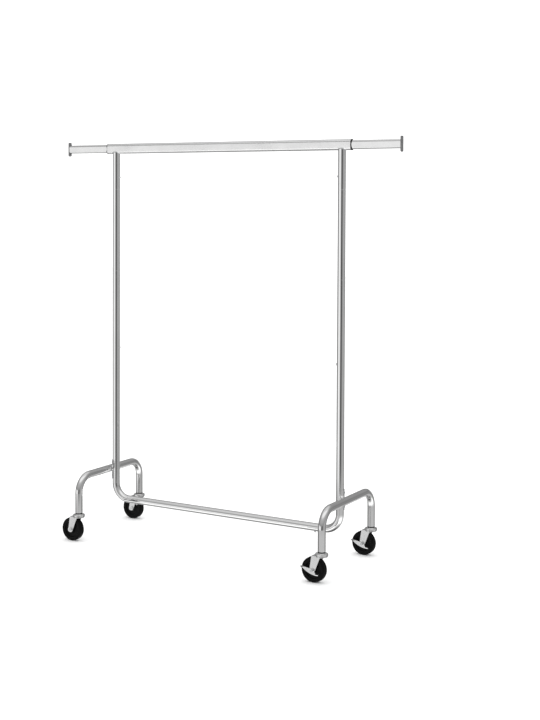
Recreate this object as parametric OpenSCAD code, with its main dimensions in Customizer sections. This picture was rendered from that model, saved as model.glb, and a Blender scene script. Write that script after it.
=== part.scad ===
// Rolling clothes rack with a telescopic hanging rail and four swivel casters.
// Origin on the floor, midway between the uprights. +X runs along the rail,
// +Y to the back and +Z up. The braked casters are at the +X end.

/* [Uprights] */
// Distance between the axes of the two uprights
upright_spacing = 1000; // [850:10:1150]
// Outside diameter of the round frame tube
tube_d = 28.6; // [26:0.1:32]
// Wall of the round tubes
tube_wall = 1.2; // [1:0.1:1.5]
// Height of the seam between the upper and the lower upright
mid_seam_z = 1020; // [950:10:1100]
// Height of the seam between the upper upright and the rail socket
top_seam_z = 1385; // [1340:5:1420]
// Length of the reduced end that goes down inside the lower upright
mid_spigot_len = 320; // [200:10:360]
// Length of the reduced ends at the rail sockets and the bottom tube
short_spigot_len = 45; // [40:1:55]
// Height of the axis of the bottom cross tube
bottom_tube_z = 134; // [120:1:150]
// Bend radius of the two corner tubes
corner_bend_r = 60; // [50:1:70]
// Distance from an upright's axis to the seam in the bottom cross tube
bottom_seam_reach = 125; // [115:1:140]

/* [Hanging rail] */
// Height of the rail's centre line
rail_z = 1525; // [1500:5:1560]
// Length of the fixed outer rail
rail_len = 1076; // [1060:2:1200]
// Height of the outer rail's flat oval section
rail_h = 40; // [36:0.5:42]
// Thickness of the outer rail's flat oval section
rail_t = 22; // [21:0.5:25]
// Height of the sliding rail's section
ext_h = 32.5; // [28:0.5:34]
// Thickness of the sliding rail's section
ext_t = 15; // [14:0.5:15]
// How far a sliding rail's end stands out past the outer rail
ext_reach = 197; // [60:1:197]
// Travel left before the sliding rail meets its stop
ext_spare = 30; // [10:1:40]
// Height of the end cap
cap_h = 56; // [50:1:60]
// Width of the end cap
cap_w = 18; // [17:1:24]
// Thickness of the end cap
cap_t = 4; // [3:0.5:6]

/* [Legs] */
// Outside diameter of the leg tube
leg_d = 28; // [26:0.1:28.6]
// Distance between the front and the back caster stems
leg_depth = 398; // [360:2:440]
// Height of the leg bar's axis
leg_bar_z = 248; // [240:1:260]
// Bend radius of the leg tube
leg_bend_r = 62; // [55:1:70]
// Height of the leg tube's open ends
leg_end_z = 111; // [111:1:115]
// Height of the curved saddle plate
saddle_h = 74; // [70:1:80]
// Thickness of the curved saddle plate
saddle_t = 2.5; // [2:0.5:3]
// Distance between the two bolts of a saddle plate
bolt_pitch = 52; // [48:1:56]

/* [Casters] */
// Wheel diameter
wheel_d = 90; // [86:1:90]
// Width of the tread
tread_w = 25; // [22:1:25]
// Distance from the stem's axis back to the axle
caster_trail = 28.5; // [26:0.5:30]
// Angle at which the brake pedals rest, nose down
pedal_tilt = 19.5; // [10:0.1:20]
// Distance from the axle to a pedal's long end, at the back
pedal_back = 44; // [40:1:50]
// Distance from the axle to a pedal's short end, at the front
pedal_front = 29; // [27:1:36]

/* [Hidden] */
$fn = 48;

// Which side and which end a sub-part belongs to
LEFT = -1;
RIGHT = 1;
FRONT = -1;
BACK = 1;

// Small length that carries a cut past the surface it opens
cut = 1;

// Gap between nested pieces that don't move on each other
fit_gap = 0.2;
// Gap between a sliding piece and its guide
slide_gap = 0.3;
// Radial clearance of a pin that turns in its hole
turn_gap = 0.06;

tube_r = tube_d / 2;
bore_r = tube_r - tube_wall;
spigot_r = bore_r - fit_gap;
spigot_bore_r = spigot_r - tube_wall;
upright_x = upright_spacing / 2;
bottom_seam_x = upright_x - bottom_seam_reach;
// The rolled groove beside each seam of an upper upright
groove_from_seam = 21;
groove_w = 1.6;
groove_depth = 0.5;

// Snap buttons
button_r = 4.3;
button_proud = 5.5;
button_hole_r = button_r + slide_gap;
button_from_seam = 27;
mid_button_z = mid_seam_z - mid_spigot_len + 36;
bottom_button_x = bottom_seam_x + 25;
button_base_r = 5.8;
button_base_x = 8.4;
button_base_t = 1;
leaf_w = 9;
leaf_t = 0.8;

// Rail
rail_end_x = rail_len / 2;
rail_wall = 1.2;
bush_flange = 3;
bush_lip = 0.2;
bush_scoop_r = 24;
bush_scoop_left = 1;
bush_sleeve = 25;
cap_outer_x = rail_end_x + ext_reach;
cap_inner_x = cap_outer_x - cap_t;
cap_corner_r = 5;
cap_plug = 15;
glide_len = 20;
glide_face_x = rail_end_x - bush_sleeve - ext_spare;
socket_cope = 6;

// Legs
leg_r = leg_d / 2;
leg_y = leg_depth / 2;
leg_x = upright_x + tube_r + saddle_t + leg_r - 0.5;
bar_half = leg_y - leg_bend_r;
leg_bend_z = leg_bar_z - leg_bend_r;
saddle_wrap = 78;
bolt_r = 3;
bolt_hole_r = 3.3;
bolt_head_r = 5.5;
bolt_head_h = 3.6;
nut_outer = bore_r - 1.7;
nut_t = 5;
nut_af = 10;

// Casters
wheel_r = wheel_d / 2;
axle_z = wheel_r;
axle_r = 3;
bush_r = 5;
sleeve_flange_h = 4.5;
sleeve_flange_r = leg_r - 0.4;
sleeve_len = 39;
stem_r = 5.5;
cover_top = leg_end_z - sleeve_flange_h;
cover_r = 23;
crown_z = 93;
crown_t = 2.5;
crown_r = 21.5;
ball_r = 2.4;
ball_ring_r = 14;
ball_count = 12;
leg_plate_y = 14.5;
leg_plate_t = 2.2;
fork_half_w = leg_plate_y + leg_plate_t;
fork_nose_r = 10.5;
// How far the fork's plates reach behind and ahead of the axle, at the crown
fork_back = 3;
fork_front = 35;
hub_half_w = 13.3;
rim_r = 36;
head_af = 10;
head_h = 4;
nut_h = 5;
bolt_tail = 2;
// A pedal's plate hangs below the axle: its ends, its deepest point and its top
pedal_t = 2.5;
pedal_gap = 0.4;
pedal_hub_w = 5;
pedal_hub_r = 7.5;
pedal_end_drop = 5;
pedal_belly_drop = 13.5;
pedal_belly_r = 85;
pedal_belly_x = -3;
pedal_tab_w = 11;
pedal_tab_len = 14;
pedal_tab_t = 2;

// Builds its children on the right, and mirrors them for the left
module sided(side) {
    if (side == RIGHT) children();
    else mirror([1, 0, 0]) children();
}

// Solid rod along Z between two heights
module rod_z(r, z0, z1) {
    translate([0, 0, z0]) cylinder(r = r, h = z1 - z0);
}

// Solid rod along X between two places
module rod_x(r, x0, x1) {
    translate([x0, 0, 0]) rotate([0, 90, 0]) cylinder(r = r, h = x1 - x0);
}

// Solid rod along Y between two places
module rod_y(r, y0, y1) {
    translate([0, y0, 0]) rotate([-90, 0, 0]) cylinder(r = r, h = y1 - y0);
}

// Hexagonal prism along Y, af wide across its flats
module hex_y(af, y0, y1) {
    translate([0, y0, 0]) rotate([-90, 0, 0])
        cylinder(d = af / cos(30), h = y1 - y0, $fn = 6);
}

// Quarter of a solid ring, from the first axis to the second
module quarter_bend(r, bend_r) {
    rotate_extrude(angle = 90) translate([bend_r, 0]) circle(r = r);
}

// Flat oval outline, h high and t thick
module flat_oval(h, t) {
    square([t, h - t], center = true);
    for (s = [-1, 1]) translate([0, s * (h - t) / 2]) circle(d = t);
}

// Rectangle with round corners, centred
module round_rect(w, h, r) {
    square([w - 2 * r, h], center = true);
    square([w, h - 2 * r], center = true);
    for (sx = [-1, 1], sy = [-1, 1])
        translate([sx * (w / 2 - r), sy * (h / 2 - r)]) circle(r = r);
}

// Carries an outline in Y and Z along X, from x0 to x1
module along_x(x0, x1) {
    translate([x0, 0, 0]) rotate([90, 0, 90]) linear_extrude(x1 - x0) children();
}

// Carries an outline in X and Z along Y, from y0 to y1
module along_y(y0, y1) {
    translate([0, y1, 0]) rotate([90, 0, 0]) linear_extrude(y1 - y0) children();
}

// ---- Hanging rail ----

module rail_outline() {
    flat_oval(rail_h, rail_t);
}

module top_rail_tube() {
    color("gainsboro") translate([0, 0, rail_z]) difference() {
        along_x(-rail_end_x, rail_end_x) rail_outline();
        along_x(-rail_end_x - cut, rail_end_x + cut)
            flat_oval(rail_h - 2 * rail_wall, rail_t - 2 * rail_wall);
    }
}

// Short round tube welded under the rail, with the hole for the top button
module rail_socket(side) {
    socket_top = rail_z - rail_h / 2 + socket_cope;
    color("silver") sided(side) difference() {
        translate([upright_x, 0, 0]) difference() {
            rod_z(tube_r, top_seam_z, socket_top);
            rod_z(bore_r, top_seam_z - cut, socket_top + cut);
            translate([0, 0, top_seam_z + button_from_seam])
                rod_x(button_hole_r, -tube_d, 0);
        }
        translate([0, 0, rail_z])
            along_x(upright_x - tube_d, upright_x + tube_d) rail_outline();
    }
}

// Black bush that lines the rail's open end, with a flange that is scooped
// away on both flat sides
module rail_bush(side) {
    sleeve_h = rail_h - 2 * rail_wall - fit_gap;
    sleeve_t = rail_t - 2 * rail_wall - fit_gap;
    color("black") sided(side) translate([0, 0, rail_z]) difference() {
        union() {
            along_x(rail_end_x, rail_end_x + bush_flange)
                flat_oval(rail_h + 2 * bush_lip, rail_t + 2 * bush_lip);
            along_x(rail_end_x - bush_sleeve, rail_end_x)
                flat_oval(sleeve_h, sleeve_t);
        }
        along_x(rail_end_x - bush_sleeve - cut, rail_end_x + bush_flange + cut)
            flat_oval(ext_h + 2 * slide_gap, ext_t + 2 * slide_gap);
        translate([rail_end_x + bush_scoop_left + bush_scoop_r, 0, 0])
            rod_y(bush_scoop_r, -rail_t, rail_t);
    }
}

module extension_rail(side) {
    color("lightgray") sided(side) translate([0, 0, rail_z]) difference() {
        along_x(glide_face_x, cap_inner_x) flat_oval(ext_h, ext_t);
        along_x(glide_face_x - cut, cap_inner_x + cut)
            flat_oval(ext_h - 2 * rail_wall, ext_t - 2 * rail_wall);
    }
}

// Plug that fills a sliding rail's bore, fit_gap all round
module rail_plug(x0, x1) {
    inset = 2 * (rail_wall + fit_gap);
    along_x(x0, x1) flat_oval(ext_h - inset, ext_t - inset);
}

module end_cap(side) {
    color("darkgray") sided(side) translate([0, 0, rail_z]) {
        along_x(cap_inner_x, cap_outer_x) round_rect(cap_w, cap_h, cap_corner_r);
        rail_plug(cap_inner_x - cap_plug, cap_inner_x);
    }
}

// Plastic glide that guides the hidden end of a sliding rail, and stops it
module rail_glide(side) {
    inset = 2 * (rail_wall + slide_gap);
    color("dimgray") sided(side) translate([0, 0, rail_z]) {
        along_x(glide_face_x - glide_len, glide_face_x)
            flat_oval(rail_h - inset, rail_t - inset);
        rail_plug(glide_face_x, glide_face_x + cap_plug);
    }
}

// ---- Uprights and bottom tube ----

// Shallow rolled groove round a tube at height z
module groove_z(z) {
    difference() {
        rod_z(tube_r + cut, z - groove_w / 2, z + groove_w / 2);
        rod_z(tube_r - groove_depth, z - groove_w, z + groove_w);
    }
}

// Straight tube with a reduced end at top and bottom
module upright_upper(side) {
    spigot_top = top_seam_z + short_spigot_len;
    spigot_foot = mid_seam_z - mid_spigot_len;
    color("silver") sided(side) translate([upright_x, 0, 0]) difference() {
        union() {
            rod_z(tube_r, mid_seam_z, top_seam_z);
            rod_z(spigot_r, spigot_foot, spigot_top);
        }
        rod_z(spigot_bore_r, spigot_foot - cut, spigot_top + cut);
        rod_z(bore_r, mid_seam_z + 3 * tube_wall, top_seam_z - 3 * tube_wall);
        groove_z(top_seam_z - groove_from_seam);
        groove_z(mid_seam_z + groove_from_seam);
        for (z = [top_seam_z + button_from_seam, mid_button_z])
            translate([0, 0, z]) rod_x(button_hole_r, -tube_d, 0);
    }
}

// The path of a corner tube, filled to radius r; open ends run past by extra
module corner_path(r, extra) {
    translate([upright_x, 0, 0])
        rod_z(r, bottom_tube_z + corner_bend_r, mid_seam_z + extra);
    translate([upright_x - corner_bend_r, 0, bottom_tube_z + corner_bend_r])
        rotate([-90, 0, 0]) quarter_bend(r, corner_bend_r);
    translate([0, 0, bottom_tube_z])
        rod_x(r, bottom_seam_x - extra, upright_x - corner_bend_r);
}

// Lower upright and its bend into the bottom tube, one piece
module corner_tube(side) {
    color("silver") sided(side) difference() {
        corner_path(tube_r, 0);
        corner_path(bore_r, cut);
        translate([upright_x, 0, mid_button_z]) rod_x(button_hole_r, -tube_d, 0);
        translate([bottom_button_x, 0, bottom_tube_z])
            rod_z(button_hole_r, -tube_d, 0);
        for (s = [-1, 1])
            translate([upright_x, 0, leg_bar_z + s * bolt_pitch / 2])
                rod_x(bolt_hole_r, 0, tube_d);
    }
}

module bottom_cross_tube() {
    spigot_x = bottom_seam_x + short_spigot_len;
    color("silver") translate([0, 0, bottom_tube_z]) difference() {
        union() {
            rod_x(tube_r, -bottom_seam_x, bottom_seam_x);
            rod_x(spigot_r, -spigot_x, spigot_x);
        }
        rod_x(spigot_bore_r, -spigot_x - cut, spigot_x + cut);
        rod_x(bore_r, 3 * tube_wall - bottom_seam_x, bottom_seam_x - 3 * tube_wall);
        for (s = [-1, 1])
            translate([s * bottom_button_x, 0, 0]) rod_z(button_hole_r, -tube_d, 0);
    }
}

// ---- Snap buttons, each a pin that points to +X from a tube's axis ----

module snap_button() {
    leaf = [
        [button_base_x, 4], [button_base_x, -4], [3.4, -24],
        [3.4 - leaf_t, -24], [button_base_x - leaf_t, -4], [button_base_x - leaf_t, 4]
    ];
    rod_x(button_r, button_base_x, tube_r + button_proud - button_r);
    translate([tube_r + button_proud - button_r, 0, 0]) sphere(r = button_r);
    rod_x(button_base_r, button_base_x, button_base_x + button_base_t);
    along_y(-leaf_w / 2, leaf_w / 2) polygon(leaf);
}

// The bend and the fixed arm of the V spring behind a button. The arm's end
// bears on the spigot's bore, opposite the button.
module button_spring() {
    seat = sqrt(pow(spigot_bore_r, 2) - pow(leaf_w / 2, 2));
    fixed_arm = [
        [3.1, -25.2], [3.1 - leaf_t, -25.2], [-0.8, -38.5],
        [leaf_t - seat, 4], [-seat, 4], [-1.4, -42], [-0.4, -42]
    ];
    along_y(-leaf_w / 2, leaf_w / 2) polygon(fixed_arm);
}

// Puts a button or a spring where it belongs on the right-hand side
module at_top_button() {
    translate([upright_x, 0, top_seam_z + button_from_seam])
        mirror([1, 0, 0]) children();
}

module at_mid_button() {
    translate([upright_x, 0, mid_button_z]) rotate([0, 180, 0]) children();
}

module at_bottom_button() {
    translate([bottom_button_x, 0, bottom_tube_z]) rotate([0, 90, 0]) children();
}

module snap_button_top(side) {
    color("silver") sided(side) at_top_button() snap_button();
}

module snap_button_mid(side) {
    color("silver") sided(side) at_mid_button() snap_button();
}

module snap_button_bottom(side) {
    color("silver") sided(side) at_bottom_button() snap_button();
}

module button_springs() {
    color("slategray") for (side = [LEFT, RIGHT]) sided(side) {
        at_top_button() button_spring();
        at_mid_button() button_spring();
        at_bottom_button() button_spring();
    }
}

// ---- Legs ----

// The path of a leg tube, filled to radius r; open ends run past by extra
module leg_path(r, extra) {
    translate([leg_x, 0, leg_bar_z]) rod_y(r, -bar_half, bar_half);
    for (s = [-1, 1]) {
        translate([leg_x, s * leg_y, 0]) rod_z(r, leg_end_z - extra, leg_bend_z);
        translate([leg_x, s * bar_half, leg_bend_z])
            rotate([0, 0, s * 90]) rotate([90, 0, 0]) quarter_bend(r, leg_bend_r);
    }
}

module leg_tube(side) {
    color("silver") sided(side) difference() {
        leg_path(leg_r, 0);
        leg_path(leg_r - tube_wall, cut);
    }
}

// Curved plate that is welded to the leg bar and hugs the upright's outer side
module saddle_plate(side) {
    color("silver") sided(side) difference() {
        translate([upright_x, 0, leg_bar_z - saddle_h / 2])
            rotate([0, 0, -saddle_wrap]) rotate_extrude(angle = 2 * saddle_wrap)
                translate([tube_r, 0]) square([saddle_t, saddle_h]);
        translate([leg_x, 0, leg_bar_z]) rod_y(leg_r, -tube_d, tube_d);
        for (s = [-1, 1])
            translate([upright_x, 0, leg_bar_z + s * bolt_pitch / 2])
                rod_x(bolt_hole_r, 0, tube_d);
    }
}

// Button-head bolt with its head outside the saddle plate, on +X
module leg_bolt() {
    face = tube_r + saddle_t;
    rod_x(bolt_r, nut_outer - nut_t - cut, face);
    rod_x(bolt_head_r, face, face + bolt_head_h / 2);
    translate([face + bolt_head_h / 2, 0, 0]) rotate([0, 90, 0])
        cylinder(r1 = bolt_head_r, r2 = bolt_head_r / 2, h = bolt_head_h / 2);
}

// Hexagonal nut fixed inside the upright
module leg_nut() {
    rotate([0, 0, -90]) difference() {
        hex_y(nut_af, nut_outer - nut_t, nut_outer);
        rod_y(bolt_r + turn_gap, nut_outer - nut_t - cut, nut_outer + cut);
    }
}

// Puts a fastener at each of the four saddle bolts
module at_leg_bolts() {
    for (side = [LEFT, RIGHT], s = [-1, 1])
        sided(side) translate([upright_x, 0, leg_bar_z + s * bolt_pitch / 2])
            children();
}

module leg_bolts() {
    color("silver") at_leg_bolts() leg_bolt();
}

module leg_nuts() {
    color("gray") at_leg_bolts() leg_nut();
}

// ---- Casters, each with its stem's axis on Z and its wheel behind, at -X ----

// Puts a caster under a leg; a caster is never mirrored, so all trail to -X
module at_caster(side, end) {
    translate([side * leg_x, end * leg_y, 0]) children();
}

// Black plastic sleeve that lines the leg's end and grips the stem
module caster_sleeve(side, end) {
    color("black") at_caster(side, end) difference() {
        union() {
            rod_z(sleeve_flange_r, cover_top, leg_end_z);
            rod_z(leg_r - tube_wall - fit_gap, leg_end_z, leg_end_z + sleeve_len);
        }
        rod_z(stem_r + fit_gap / 2, cover_top - cut, leg_end_z + sleeve_len + cut);
    }
}

// Stem, dished swivel cover and riveted end: the fixed half of the swivel
module caster_stem(side, end) {
    rivet_top = crown_z - slide_gap;
    rivet_foot = rivet_top - 3;
    cover_rim = crown_z + crown_t + 1.5;
    cover_foot = cover_top - 5.5;
    cover_profile = [
        [0, cover_foot], [cover_r - 2.2, cover_foot], [cover_r - 2.2, cover_rim],
        [cover_r, cover_rim], [cover_r, cover_top - 3.6], [cover_r - 1.4, cover_top - 2],
        [15, cover_top - 2.6], [13.4, cover_top], [0, cover_top]
    ];
    color("silver") at_caster(side, end) {
        rod_z(stem_r, rivet_top, leg_end_z + sleeve_len);
        rod_z(stem_r + 3, rivet_foot, rivet_top);
        rotate_extrude() polygon(cover_profile);
    }
}

// The ring of balls that the fork's crown runs on, for all four casters
module swivel_balls() {
    ball_z = crown_z + crown_t + ball_r + slide_gap;
    color("lightgray") for (side = [LEFT, RIGHT], end = [FRONT, BACK])
        at_caster(side, end) for (i = [0 : ball_count - 1])
            rotate([0, 0, i * 360 / ball_count])
                translate([ball_ring_r, 0, ball_z]) sphere(r = ball_r);
}

// Side plate of the fork: straight edges that run down to a round nose, and a
// front edge that flares into the crown
module fork_plate_outline() {
    nose = [-caster_trail, axle_z];
    crown_rise = crown_z + crown_t - axle_z;
    edges = [
        nose + [-10.4, 1.4], nose + [-fork_back, crown_rise],
        nose + [fork_front, crown_rise], nose + [fork_front - 5, crown_rise - 5],
        nose + [fork_front - 8, crown_rise - 11], nose + [9.7, -4], nose
    ];
    polygon(edges);
    translate(nose) circle(r = fork_nose_r);
}

module caster_fork(side, end) {
    bridge_x0 = -caster_trail - fork_back;
    bridge_x1 = fork_front - caster_trail;
    color("lightgray") at_caster(side, end) difference() {
        union() {
            rod_z(crown_r, crown_z, crown_z + crown_t);
            translate([bridge_x0, -fork_half_w, crown_z])
                cube([bridge_x1 - bridge_x0, 2 * fork_half_w, crown_t]);
            for (y = [-fork_half_w, leg_plate_y])
                along_y(y, y + leg_plate_t) fork_plate_outline();
        }
        rod_z(stem_r + turn_gap, crown_z - cut, crown_z + crown_t + cut);
        translate([-caster_trail, 0, axle_z])
            rod_y(axle_r + turn_gap, -fork_half_w - cut, fork_half_w + cut);
    }
}

// Gap between the fork and the bolt's head, where a braked caster has its pedal
function head_gap(side) = side == RIGHT ? pedal_hub_w + pedal_gap : 0;

// Axle bolt with its hexagonal head in front and its nut behind
module axle_bolt(side, end) {
    head_y = -fork_half_w - head_gap(side);
    tip_y = fork_half_w + nut_h + bolt_tail;
    color("silver") at_caster(side, end) translate([-caster_trail, 0, axle_z]) {
        rod_y(axle_r, head_y, tip_y);
        hex_y(head_af, head_y - head_h, head_y);
        difference() {
            hex_y(head_af, fork_half_w, fork_half_w + nut_h);
            rod_y(axle_r + turn_gap, fork_half_w - cut, tip_y);
        }
    }
}

// Steel bush clamped between the fork's plates, on which the wheel turns
module axle_bush(side, end) {
    half = leg_plate_y - fit_gap;
    color("silver") at_caster(side, end) translate([-caster_trail, 0, axle_z])
        difference() {
            rod_y(bush_r, -half, half);
            rod_y(axle_r + turn_gap, -half - cut, half + cut);
        }
}

// Spins an outline of radius and width about the wheel's axle
module about_axle() {
    translate([-caster_trail, 0, axle_z]) rotate([-90, 0, 0])
        rotate_extrude() children();
}

// Moulded wheel body: hub, thin web and rim
module wheel_hub(side, end) {
    hub_r = 14;
    web_half = 5.5;
    rim_half = tread_w / 2 - 1.2;
    rim_in = rim_r - 5;
    bore = bush_r + turn_gap;
    color([0.1, 0.1, 0.1]) at_caster(side, end) about_axle() polygon([
        [bore, -hub_half_w], [hub_r, -hub_half_w], [hub_r, -web_half],
        [rim_in, -web_half], [rim_in, -rim_half], [rim_r, -rim_half],
        [rim_r, rim_half], [rim_in, rim_half], [rim_in, web_half],
        [hub_r, web_half], [hub_r, hub_half_w], [bore, hub_half_w]
    ]);
}

module tyre(side, end) {
    half = tread_w / 2;
    color([0.05, 0.05, 0.05]) at_caster(side, end) about_axle() polygon([
        [rim_r, -half], [wheel_r - 3.5, -half], [wheel_r - 0.9, -half + 1.6],
        [wheel_r, -half + 4.5], [wheel_r, half - 4.5],
        [wheel_r - 0.9, half - 1.6], [wheel_r - 3.5, half], [rim_r, half]
    ]);
}

// Outline of a pedal's plate: a bowed lower edge, and a top that falls from
// the hub to a narrow end on each side
module pedal_outline() {
    intersection() {
        translate([pedal_belly_x, pedal_belly_r - pedal_belly_drop])
            circle(r = pedal_belly_r);
        polygon([
            [-pedal_back, -pedal_belly_drop], [pedal_front, -pedal_belly_drop],
            [pedal_front, 2 - pedal_end_drop], [17, -5], [pedal_hub_r, 2],
            [pedal_hub_r - 2, pedal_hub_r - 2], [-pedal_hub_r, pedal_hub_r - 4],
            [-pedal_back, 2 - pedal_end_drop]
        ]);
    }
}

// Foot tab at a pedal's +X end, half away from the axle, folded forward and
// narrower at its tip
module pedal_tab(half) {
    root_x = half - pedal_tab_len;
    translate([0, 0, -pedal_end_drop]) linear_extrude(pedal_tab_t) polygon([
        [root_x, 0], [root_x + 4, -pedal_tab_w], [half - 4, 3 - pedal_tab_w],
        [half, 6 - pedal_tab_w], [half, 0]
    ]);
}

// See-saw brake pedal that rocks on the axle bolt
module brake_pedal(side, end) {
    back_y = -fork_half_w - pedal_gap / 2;
    plate_y = back_y - pedal_t;
    color("silver") at_caster(side, end) translate([-caster_trail, 0, axle_z])
        rotate([0, pedal_tilt, 0]) difference() {
            union() {
                along_y(plate_y, back_y) pedal_outline();
                rod_y(pedal_hub_r, back_y - pedal_hub_w, back_y);
                translate([0, plate_y + cut, 0]) {
                    pedal_tab(pedal_front);
                    sided(LEFT) pedal_tab(pedal_back);
                }
            }
            rod_y(axle_r + turn_gap, plate_y - pedal_hub_w, back_y + cut);
        }
}

top_rail_tube();
rail_socket(LEFT);  // rail_socket_left
rail_socket(RIGHT);  // rail_socket_right
rail_bush(LEFT);  // rail_bush_left
rail_bush(RIGHT);  // rail_bush_right
upright_upper(LEFT);  // upright_upper_left
upright_upper(RIGHT);  // upright_upper_right
corner_tube(LEFT);  // corner_tube_left
corner_tube(RIGHT);  // corner_tube_right
bottom_cross_tube();
leg_tube(LEFT);  // leg_tube_left
leg_tube(RIGHT);  // leg_tube_right
saddle_plate(LEFT);  // saddle_plate_left
saddle_plate(RIGHT);  // saddle_plate_right
leg_bolts();
leg_nuts();
button_springs();
snap_button_top(LEFT);  // snap_button_top_left
snap_button_top(RIGHT);  // snap_button_top_right
snap_button_mid(LEFT);  // snap_button_mid_left
snap_button_mid(RIGHT);  // snap_button_mid_right
snap_button_bottom(LEFT);  // snap_button_bottom_left
snap_button_bottom(RIGHT);  // snap_button_bottom_right
extension_rail(LEFT);  // extension_rail_left
extension_rail(RIGHT);  // extension_rail_right
end_cap(LEFT);  // end_cap_left
end_cap(RIGHT);  // end_cap_right
rail_glide(LEFT);  // rail_glide_left
rail_glide(RIGHT);  // rail_glide_right
caster_sleeve(LEFT, FRONT);  // caster_sleeve_left_front
caster_sleeve(LEFT, BACK);  // caster_sleeve_left_back
caster_sleeve(RIGHT, FRONT);  // caster_sleeve_right_front
caster_sleeve(RIGHT, BACK);  // caster_sleeve_right_back
caster_stem(LEFT, FRONT);  // caster_stem_left_front
caster_stem(LEFT, BACK);  // caster_stem_left_back
caster_stem(RIGHT, FRONT);  // caster_stem_right_front
caster_stem(RIGHT, BACK);  // caster_stem_right_back
swivel_balls();
caster_fork(LEFT, FRONT);  // caster_fork_left_front
caster_fork(LEFT, BACK);  // caster_fork_left_back
caster_fork(RIGHT, FRONT);  // caster_fork_right_front
caster_fork(RIGHT, BACK);  // caster_fork_right_back
axle_bolt(LEFT, FRONT);  // axle_bolt_left_front
axle_bolt(LEFT, BACK);  // axle_bolt_left_back
axle_bolt(RIGHT, FRONT);  // axle_bolt_right_front
axle_bolt(RIGHT, BACK);  // axle_bolt_right_back
axle_bush(LEFT, FRONT);  // axle_bush_left_front
axle_bush(LEFT, BACK);  // axle_bush_left_back
axle_bush(RIGHT, FRONT);  // axle_bush_right_front
axle_bush(RIGHT, BACK);  // axle_bush_right_back
wheel_hub(LEFT, FRONT);  // wheel_hub_left_front
wheel_hub(LEFT, BACK);  // wheel_hub_left_back
wheel_hub(RIGHT, FRONT);  // wheel_hub_right_front
wheel_hub(RIGHT, BACK);  // wheel_hub_right_back
tyre(LEFT, FRONT);  // tyre_left_front
tyre(LEFT, BACK);  // tyre_left_back
tyre(RIGHT, FRONT);  // tyre_right_front
tyre(RIGHT, BACK);  // tyre_right_back
brake_pedal(RIGHT, FRONT);  // brake_pedal_right_front
brake_pedal(RIGHT, BACK);  // brake_pedal_right_back
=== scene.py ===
"""Rolling clothes rack: the visual model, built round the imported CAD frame.

Each sub-assembly is a class that reads its places from the frame, builds its
detailed pieces with bmesh, dresses them and hands them to their CAD bodies.
All lengths are in metres. +X runs along the rail, +Y to the back and +Z up.
"""

import logging
import math
from dataclasses import dataclass, field
from enum import Enum
from typing import Callable, Iterable

import bmesh
import bpy
from mathutils import Matrix, Vector


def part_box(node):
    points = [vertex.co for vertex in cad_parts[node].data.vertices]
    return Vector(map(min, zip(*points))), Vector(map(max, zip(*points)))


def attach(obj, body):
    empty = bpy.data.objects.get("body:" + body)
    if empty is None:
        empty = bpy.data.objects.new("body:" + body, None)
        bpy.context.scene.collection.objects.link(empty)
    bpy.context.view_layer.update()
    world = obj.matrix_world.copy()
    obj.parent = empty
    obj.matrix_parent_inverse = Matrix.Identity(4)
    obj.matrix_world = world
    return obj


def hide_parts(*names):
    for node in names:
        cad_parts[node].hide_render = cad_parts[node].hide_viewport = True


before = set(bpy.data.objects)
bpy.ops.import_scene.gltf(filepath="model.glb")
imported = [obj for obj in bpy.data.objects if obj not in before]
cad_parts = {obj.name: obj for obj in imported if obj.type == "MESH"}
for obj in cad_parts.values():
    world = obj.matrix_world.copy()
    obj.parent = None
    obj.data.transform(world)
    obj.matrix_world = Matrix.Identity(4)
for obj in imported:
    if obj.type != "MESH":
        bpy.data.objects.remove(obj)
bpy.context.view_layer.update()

LOG = logging.getLogger("clothes_rack")
MM = 0.001
FULL_TURN = math.tau
QUARTER_TURN = math.pi / 2
MERGE_GAP = 0.002 * MM

Point = tuple[float, float]
Colour = tuple[float, float, float]


class Side(Enum):
    """The two ends of the rail."""

    LEFT = -1
    RIGHT = 1

    @property
    def word(self) -> str:
        """The side's name, as the frame's nodes have it."""
        return self.name.lower()


class End(Enum):
    """The front and the back of a leg."""

    FRONT = -1
    BACK = 1

    @property
    def word(self) -> str:
        """The end's name, as the frame's nodes have it."""
        return self.name.lower()


class Level(Enum):
    """The three heights that have snap buttons."""

    TOP = "top"
    MID = "mid"
    BOTTOM = "bottom"


# ---------------------------------------------------------------- finishes


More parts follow.
